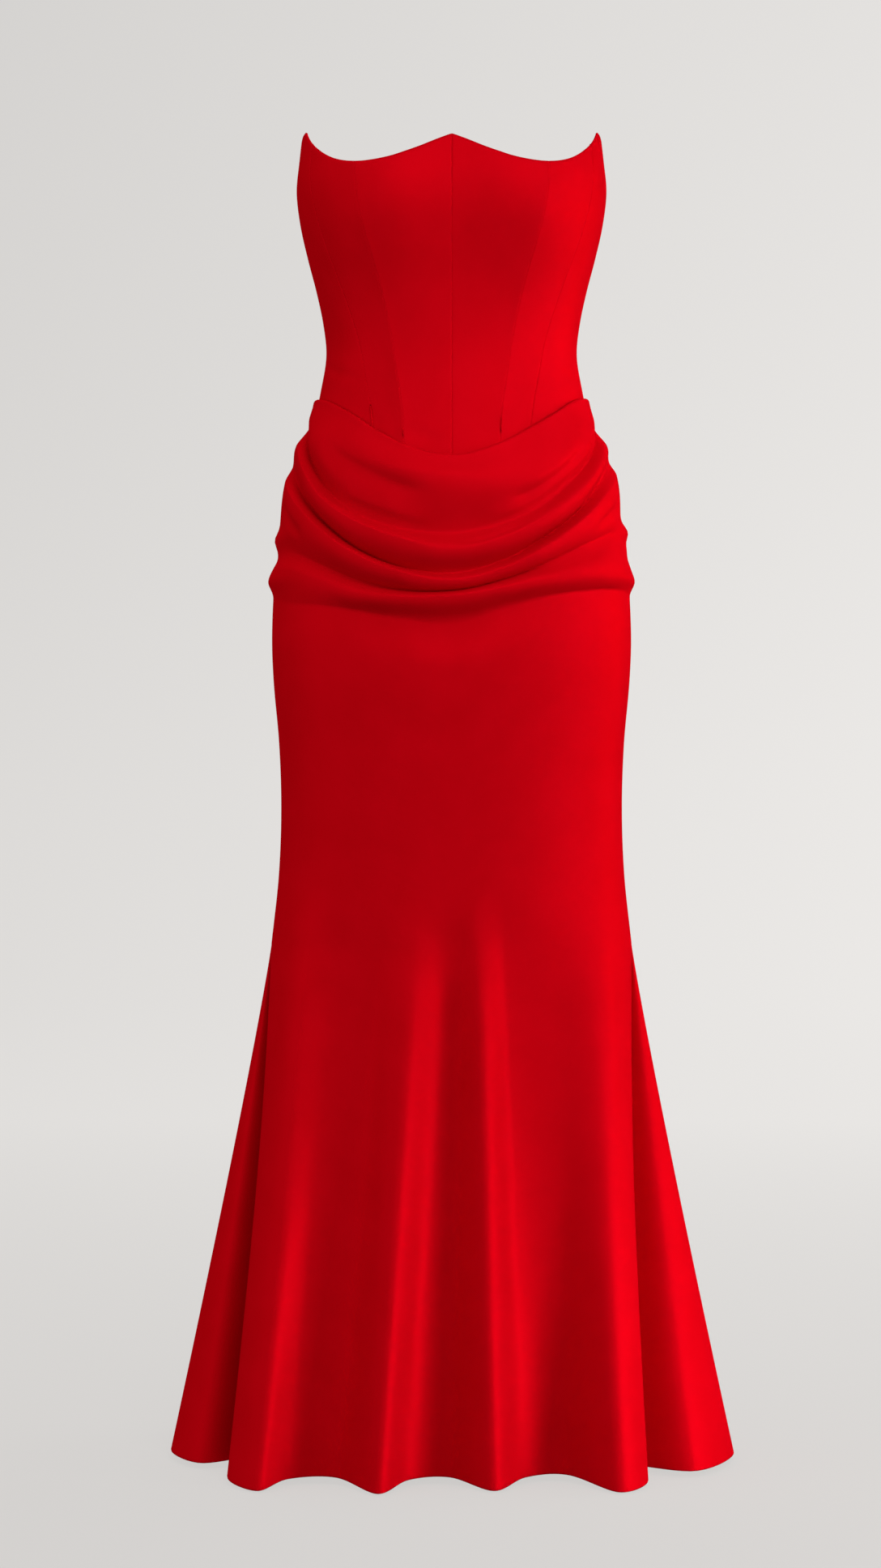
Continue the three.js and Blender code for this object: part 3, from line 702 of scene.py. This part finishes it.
def cloth_shell(name, points, thickness):
    """A closed shell of cloth with its outside on the points. Its thickness may change by rows."""
    rows, columns = points.shape[:2]
    inside = points - outward(points) * thickness
    places = np.concatenate([points.reshape(-1, 3), inside.reshape(-1, 3)]) * MM
    number = np.arange(rows * columns).reshape(rows, columns)
    back = number + rows * columns

    def quads(a, b, c, d):
        return np.stack([a, b, c, d], axis=-1).reshape(-1, 4)

    faces = [
        quads(number[:-1, :-1], number[1:, :-1], number[1:, 1:], number[:-1, 1:]),
        quads(back[:-1, :-1], back[:-1, 1:], back[1:, 1:], back[1:, :-1]),
        quads(number[:-1, 0], back[:-1, 0], back[1:, 0], number[1:, 0]),
        quads(number[:-1, -1], number[1:, -1], back[1:, -1], back[:-1, -1]),
        quads(number[0, :-1], number[0, 1:], back[0, 1:], back[0, :-1]),
        quads(number[-1, :-1], back[-1, :-1], back[-1, 1:], number[-1, 1:]),
    ]
    faces = np.concatenate(faces)
    mesh = bpy.data.meshes.new(name)
    mesh.from_pydata(places.tolist(), [], faces.tolist())
    across = way_across(points)
    flat = np.stack([across - across[:, -1:] / 2, -way_down(points)], axis=-1).reshape(-1, 2) * MM
    flat = np.concatenate([flat, flat])
    layer = mesh.uv_layers.new(name="cloth")
    layer.data.foreach_set("uv", flat[faces.ravel()].ravel())
    mesh.polygons.foreach_set("use_smooth", np.ones(len(faces), bool))
    piece = bpy.data.objects.new(name, mesh)
    bpy.context.scene.collection.objects.link(piece)
    return piece


# Finishes. Each cloth, enamel or line changes a little between two tones.
SATIN_TONES = ((0.47, 0.0003, 0.004), (0.55, 0.0005, 0.006))
SATIN_GLOSS = (1, 0.02, 0.06, 1)
TWILL_ANGLE = 63
TAPE_TONES = ((0.3, 0.001, 0.004), (0.38, 0.002, 0.006))
ENAMEL_TONES = ((0.4, 0.002, 0.006), (0.48, 0.003, 0.008))
NYLON_TONES = ((0.26, 0.002, 0.008), (0.33, 0.004, 0.01))

# The paper under the dress: its colour, and its own glow, which is painted light on the floor and wall. The
# glow changes along each axis from one place in metres to another, between two strengths, brighter towards +X
# as if lit from that side
PAPER_COLOR = (0.08, 0.078, 0.076, 1)
GLOW_COLOR = (0.69, 0.675, 0.66, 1)
GLOW = (
    ("X", -3, 3, 0.8, 1.08),
    ("Y", -0.6, 3, 0.9, 1.12),
    ("Z", -0.4, 2.3, 1, 0.94),
)


def fresh_material(name):
    material = bpy.data.materials.new(name)
    material.use_nodes = True
    material.node_tree.nodes.clear()
    return material, material.node_tree


def finish(tree, shader):
    """Makes a shader the material's surface."""
    out = node(tree, "ShaderNodeOutputMaterial")
    tree.links.new(shader.outputs["BSDF"], out.inputs["Surface"])


def node(tree, kind, **sockets):
    """A new node with the values of its sockets, whose names have _ for a space here."""
    made = tree.nodes.new(kind)
    for key, value in sockets.items():
        made.inputs[key.replace("_", " ")].default_value = value
    return made


def on_the_cloth(tree, scale, turned=0.0):
    """A piece's own flat layout, in metres, stretched by a scale and turned."""
    place = node(tree, "ShaderNodeUVMap")
    place.uv_map = "cloth"
    mapping = node(tree, "ShaderNodeMapping", Scale=(*scale, 1), Rotation=(0, 0, math.radians(turned)))
    tree.links.new(place.outputs["UV"], mapping.inputs["Vector"])
    return mapping.outputs["Vector"]


def ranged(tree, value, low, high):
    """A value from 0 to 1 moved into a range."""
    made = node(tree, "ShaderNodeMapRange", To_Min=low, To_Max=high)
    tree.links.new(value, made.inputs["Value"])
    return made.outputs["Result"]


def blended(tree, factor, first, second):
    """One colour that changes into another by a factor."""
    made = node(tree, "ShaderNodeMix")
    made.data_type = "RGBA"
    made.inputs["A"].default_value = (*first, 1)
    made.inputs["B"].default_value = (*second, 1)
    tree.links.new(factor, made.inputs["Factor"])
    return made.outputs["Result"]


def bumped(tree, shader, reliefs):
    """Stacks reliefs, each a height, a strength and a depth in metres, on a shader's normal."""
    normal = None
    for height, strength, depth in reliefs:
        bump = node(tree, "ShaderNodeBump", Strength=strength, Distance=depth)
        tree.links.new(height, bump.inputs["Height"])
        if normal:
            tree.links.new(normal, bump.inputs["Normal"])
        normal = bump.outputs["Normal"]
    tree.links.new(normal, shader.inputs["Normal"])


def satin():
    """Satin-backed crepe: deep red with a red gloss, a fine twill, a pebbled grain and a soft unevenness."""
    material, tree = fresh_material("red_satin")
    link = tree.links.new
    shader = node(tree, "ShaderNodeBsdfPrincipled", Metallic=0.22, Specular_IOR_Level=0)
    shader.inputs["Specular Tint"].default_value = SATIN_GLOSS
    cloud = node(tree, "ShaderNodeTexNoise", Scale=26, Detail=3)
    link(on_the_cloth(tree, (1, 1)), cloud.inputs["Vector"])
    thread = node(tree, "ShaderNodeTexNoise", Scale=900, Detail=1)
    link(on_the_cloth(tree, (1, 0.12)), thread.inputs["Vector"])
    crepe = node(tree, "ShaderNodeTexNoise", Scale=1300, Detail=2, Distortion=0.6)
    link(on_the_cloth(tree, (1, 0.55)), crepe.inputs["Vector"])
    twill = node(tree, "ShaderNodeTexWave", Scale=620, Distortion=0.5)
    link(on_the_cloth(tree, (1, 1), TWILL_ANGLE), twill.inputs["Vector"])
    pressed = node(tree, "ShaderNodeTexNoise", Scale=55, Detail=2)
    link(on_the_cloth(tree, (1, 0.6)), pressed.inputs["Vector"])
    mixed = node(tree, "ShaderNodeMath")
    mixed.operation = "MULTIPLY"
    link(cloud.outputs["Fac"], mixed.inputs[0])
    link(ranged(tree, thread.outputs["Fac"], 0.8, 1.2), mixed.inputs[1])
    link(blended(tree, mixed.outputs["Value"], *SATIN_TONES), shader.inputs["Base Color"])
    link(ranged(tree, cloud.outputs["Fac"], 0.5, 0.62), shader.inputs["Roughness"])
    bumped(tree, shader, [
        (pressed.outputs["Fac"], 0.12, 0.001),
        (twill.outputs["Fac"], 0.18, 0.00006),
        (crepe.outputs["Fac"], 0.3, 0.0002),
    ])
    finish(tree, shader)
    return material


def woven_tape():
    """Woven zip tape: fine ribs along its length, crossed by closer threads."""
    material, tree = fresh_material("zip_tape")
    link = tree.links.new
    place = node(tree, "ShaderNodeTexCoord")
    shader = node(tree, "ShaderNodeBsdfPrincipled", Roughness=0.8, Specular_IOR_Level=0)
    ribs = node(tree, "ShaderNodeTexWave", Scale=260)
    threads = node(tree, "ShaderNodeTexWave", Scale=520)
    threads.bands_direction = "Z"
    link(place.outputs["Object"], ribs.inputs["Vector"])
    link(place.outputs["Object"], threads.inputs["Vector"])
    link(blended(tree, threads.outputs["Fac"], *TAPE_TONES), shader.inputs["Base Color"])
    bumped(tree, shader, [(ribs.outputs["Fac"], 0.5, 0.0002), (threads.outputs["Fac"], 0.4, 0.0001)])
    finish(tree, shader)
    return material


def zip_enamel():
    """Baked enamel on cast metal: glossy, with a soft unevenness and a duller gloss in patches."""
    material, tree = fresh_material("zip_enamel")
    link = tree.links.new
    place = node(tree, "ShaderNodeTexCoord")
    shader = node(tree, "ShaderNodeBsdfPrincipled", Metallic=0.5, Specular_IOR_Level=0.2)
    wear = node(tree, "ShaderNodeTexNoise", Scale=420, Detail=3)
    orange_peel = node(tree, "ShaderNodeTexNoise", Scale=1500, Detail=1)
    link(place.outputs["Object"], wear.inputs["Vector"])
    link(place.outputs["Object"], orange_peel.inputs["Vector"])
    link(blended(tree, wear.outputs["Fac"], *ENAMEL_TONES), shader.inputs["Base Color"])
    link(ranged(tree, wear.outputs["Fac"], 0.22, 0.42), shader.inputs["Roughness"])
    bumped(tree, shader, [(orange_peel.outputs["Fac"], 0.15, 0.0001)])
    finish(tree, shader)
    return material


def zip_nylon():
    """Drawn nylon line: a soft gloss, and a tone that changes a little along it."""
    material, tree = fresh_material("zip_nylon")
    link = tree.links.new
    place = node(tree, "ShaderNodeTexCoord")
    shader = node(tree, "ShaderNodeBsdfPrincipled", Roughness=0.35)
    tone = node(tree, "ShaderNodeTexNoise", Scale=300, Detail=2)
    link(place.outputs["Object"], tone.inputs["Vector"])
    link(blended(tree, tone.outputs["Fac"], *NYLON_TONES), shader.inputs["Base Color"])
    bumped(tree, shader, [(tone.outputs["Fac"], 0.1, 0.0001)])
    finish(tree, shader)
    return material


def glowing_floor():
    """Pale paper with a glow of its own, painted light that makes floor and wall look even.

    The painted glow is stronger towards +X, as if lit from that side, farther behind the dress, and a little
    weaker higher up.
    """
    material, tree = fresh_material("floor")
    link = tree.links.new
    shader = node(tree, "ShaderNodeBsdfPrincipled", Roughness=0.9, Specular_IOR_Level=0)
    shader.inputs["Base Color"].default_value = PAPER_COLOR
    shader.inputs["Emission Color"].default_value = GLOW_COLOR
    place = node(tree, "ShaderNodeTexCoord")
    split = node(tree, "ShaderNodeSeparateXYZ")
    link(place.outputs["Object"], split.inputs["Vector"])
    glow = None
    for way, start, end, low, high in GLOW:
        part = node(tree, "ShaderNodeMapRange", From_Min=start, From_Max=end, To_Min=low, To_Max=high)
        link(split.outputs[way], part.inputs["Value"])
        if glow:
            product = node(tree, "ShaderNodeMath")
            product.operation = "MULTIPLY"
            link(glow, product.inputs[0])
            link(part.outputs["Result"], product.inputs[1])
            glow = product.outputs["Value"]
        else:
            glow = part.outputs["Result"]
    # Painted light: the glow, brighter towards +X, drives the paper's emission
    link(glow, shader.inputs["Emission Strength"])
    finish(tree, shader)
    return material


# Camera: its place in metres, and its lens in millimetres
EYE = (-0.0105, -3.0, -0.407)
LENS = 72.45

# The floor in metres: its level, how far it comes forward, goes to each side and runs back to the wall, the
# wall's height, the radius of the sweep between them and its steps
FLOOR = {"level": -1.047, "near": -9.0, "half": 12.0, "far": 8.0, "high": 7.0, "sweep": 2.0, "steps": 24}


def photograph_camera():
    data = bpy.data.cameras.new("camera")
    data.sensor_fit = "AUTO"
    data.sensor_width = 36
    data.lens = LENS
    camera = bpy.data.objects.new("camera", data)
    camera.location = EYE
    camera.rotation_euler = (math.radians(90), 0, 0)
    bpy.context.scene.collection.objects.link(camera)
    bpy.context.scene.camera = camera


def soft_light(name, place, aim, size, power, color, spread=180):
    """A round soft light, its size in metres, power in watts and spread in degrees, turned to its aim."""
    data = bpy.data.lights.new(name, "AREA")
    data.shape = "DISK"
    data.size = size
    data.energy = power
    data.color = color
    data.spread = math.radians(spread)
    lamp = bpy.data.objects.new(name, data)
    lamp.location = place
    direction = np.array(aim) - np.array(place)
    lamp.rotation_euler = Vector(direction).to_track_quat("-Z", "Y").to_euler()
    lamp.visible_camera = False
    bpy.context.scene.collection.objects.link(lamp)


def studio():
    """Plain soft lights round the dress, and a dim grey surround that is lighter above."""
    soft_light("front", (0.45, -1.4, 0.9), (0, 0, -0.05), 0.8, 12, (1, 0.985, 0.96))
    soft_light("right", (1.7, -0.85, 0.05), (0.04, 0, -0.05), 0.4, 0.42, (1, 0.985, 0.96), 28)
    soft_light("side", (2.5, 0.62, 0.0), (0, 0, -0.15), 1.4, 7, (1, 0.99, 0.97), 80)
    soft_light("low", (1.35, -0.8, -0.95), (0, 0, -0.98), 0.5, 2.3, (1, 0.99, 0.97), 60)
    soft_light("left", (-1.8, -0.9, 0.0), (0, 0, -0.3), 1.2, 7, (1, 0.985, 0.97))
    world = bpy.data.worlds.new("studio")
    world.use_nodes = True
    tree = world.node_tree
    way = node(tree, "ShaderNodeTexCoord")
    split = node(tree, "ShaderNodeSeparateXYZ")
    height = node(tree, "ShaderNodeMapRange", From_Min=-1, To_Min=0.12, To_Max=0.78)
    background = tree.nodes["Background"]
    background.inputs["Color"].default_value = (1, 0.985, 0.96, 1)
    tree.links.new(way.outputs["Generated"], split.inputs["Vector"])
    tree.links.new(split.outputs["Z"], height.inputs["Value"])
    tree.links.new(height.outputs["Result"], background.inputs["Strength"])
    bpy.context.scene.world = world
    bpy.context.scene.view_settings.view_transform = "Standard"


def pale_floor():
    """A pale floor that sweeps up into a far wall."""
    level, far, radius = FLOOR["level"], FLOOR["far"], FLOOR["sweep"]
    outline = [(FLOOR["near"], level), (far - radius, level)]
    for step in range(1, FLOOR["steps"] + 1):
        turn = math.radians(90 * step / FLOOR["steps"])
        outline.append((far - radius + radius * math.sin(turn), level + radius * (1 - math.cos(turn))))
    outline.append((far, FLOOR["high"]))
    places = [(x, y, z) for y, z in outline for x in (-FLOOR["half"], FLOOR["half"])]
    faces = [(2 * i, 2 * i + 1, 2 * i + 3, 2 * i + 2) for i in range(len(outline) - 1)]
    mesh = bpy.data.meshes.new("floor")
    mesh.from_pydata(places, [], faces)
    floor = bpy.data.objects.new("floor", mesh)
    floor.data.materials.append(glowing_floor())
    floor.visible_diffuse = False
    floor.visible_glossy = False
    bpy.context.scene.collection.objects.link(floor)
    for face in mesh.polygons:
        face.use_smooth = True


photograph_camera()
studio()
pale_floor()

SATIN = satin()
TAPE = woven_tape()
ENAMEL = zip_enamel()
NYLON = zip_nylon()

# The bodice's panels, each with its two seams, from the centre front round to the centre back
PANELS = [
    ("bodice_center_front", "centre_front", "princess"),
    ("bodice_side_front", "princess", "side_front"),
    ("bodice_side", "side_front", "side"),
    ("bodice_side_back", "side", "back"),
    ("bodice_center_back", "back", "centre_back"),
]


def seam_depth(seam, side):
    """How far a bodice seam draws the cloth in. Side is 1 on the left and -1 on the right."""
    return SEAM_DITCH["pressed" if side > 0 and seam in PRESSED_SEAMS else "deep"]


def finish_cloth(name, points, thickness, deep=(SEAM_DITCH["deep"],) * 2):
    """Presses the creases and seams into a piece, thickens it and puts it in its solid's place."""
    shaped = draw_in_seams(creased(points, angle_of(points)), deep)
    piece = cloth_shell(name + "_cloth", shaped, thickness)
    piece.data.materials.append(SATIN)
    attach(piece, "dress")
    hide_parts(name)


def skirt_piece(name, points):
    """A piece of the skirt, with its turned hem."""
    finish_cloth(name, rounded(points, [-1]), hemmed(points))


for i, (base, first, last) in enumerate(PANELS):
    for side, word in ((1, "_left"), (-1, "_right")):
        start, end = (first, last) if side > 0 else (last, first)
        points = rounded(panel_points(start, end, side), [0])
        deep = [seam_depth(seam, side) for seam in (start, end)]
        finish_cloth(base + word, points, BODICE_CLOTH, deep)
skirt_piece("skirt_front", skirt_points(HEM_FRONT, FRONT_COLUMNS))
skirt_piece("skirt_back_left", skirt_points(HEM_BACK_LEFT, BACK_COLUMNS))
skirt_piece("skirt_back_right", skirt_points(HEM_BACK_RIGHT, BACK_COLUMNS))
skirt_piece("godet_left", godet_points(HEM_GODET_LEFT))
skirt_piece("godet_right", godet_points(HEM_GODET_RIGHT))


def tube(name, path, radius, sides):
    """A closed tube of a radius along a path of points in millimetres."""
    along_path = unit(np.gradient(path, axis=0))
    first = unit(np.cross(along_path, (0, 0, 1)))
    second = np.cross(along_path, first)
    turn = np.arange(sides) * 2 * np.pi / sides
    ring = np.cos(turn)[:, None] * first[:, None, :] + np.sin(turn)[:, None] * second[:, None, :]
    places = (path[:, None, :] + radius * ring).reshape(-1, 3) * MM
    number = np.arange(len(places)).reshape(-1, sides)
    onward = np.roll(number, -1, axis=1)
    walls = np.stack([number[:-1], onward[:-1], onward[1:], number[1:]], axis=-1).reshape(-1, 4)
    faces = walls.tolist() + [number[0][::-1].tolist(), number[-1].tolist()]
    mesh = bpy.data.meshes.new(name)
    mesh.from_pydata(places.tolist(), [], faces)
    mesh.polygons.foreach_set("use_smooth", np.ones(len(faces), bool))
    piece = bpy.data.objects.new(name, mesh)
    bpy.context.scene.collection.objects.link(piece)
    return piece


def zip_coil(name, tape, side):
    """The nylon coil on the inner face of a tape, beside the zip's opening."""
    corners = np.array([corner.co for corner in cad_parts[tape].data.vertices]) / MM
    beside = corners[np.abs(corners[:, 0]) < COIL["centre"]]
    heights = np.unique(beside[:, 2].round(HEIGHT_DECIMALS))
    inner = [beside[np.abs(beside[:, 2] - z) < 10**-HEIGHT_DECIMALS][:, 1].min() for z in heights]
    turn = np.arange(COIL["turns"] * COIL["steps"]) / COIL["steps"]
    z = COIL["low"] + COIL["pitch"] * (turn + (COIL["offset"] if side > 0 else 0))
    x = side * (COIL["centre"] - COIL["wide"] * np.cos(2 * np.pi * turn))
    y = np.interp(z, heights, inner) - COIL["inside"] + COIL["deep"] * np.sin(2 * np.pi * turn)
    coil = tube(name, np.stack([x, y, z], axis=-1), COIL["line"], COIL["sides"])
    coil.data.materials.append(NYLON)
    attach(coil, "dress")


zip_coil("zip_coil_left", "zip_tape_left", 1)
zip_coil("zip_coil_right", "zip_tape_right", -1)
ZIP_FINISHES = {"zip_tape_left": TAPE, "zip_tape_right": TAPE, "zip_slider": ENAMEL, "zip_pull_tab": ENAMEL}
for name, material in ZIP_FINISHES.items():
    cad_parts[name].data.materials.clear()
    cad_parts[name].data.materials.append(material)
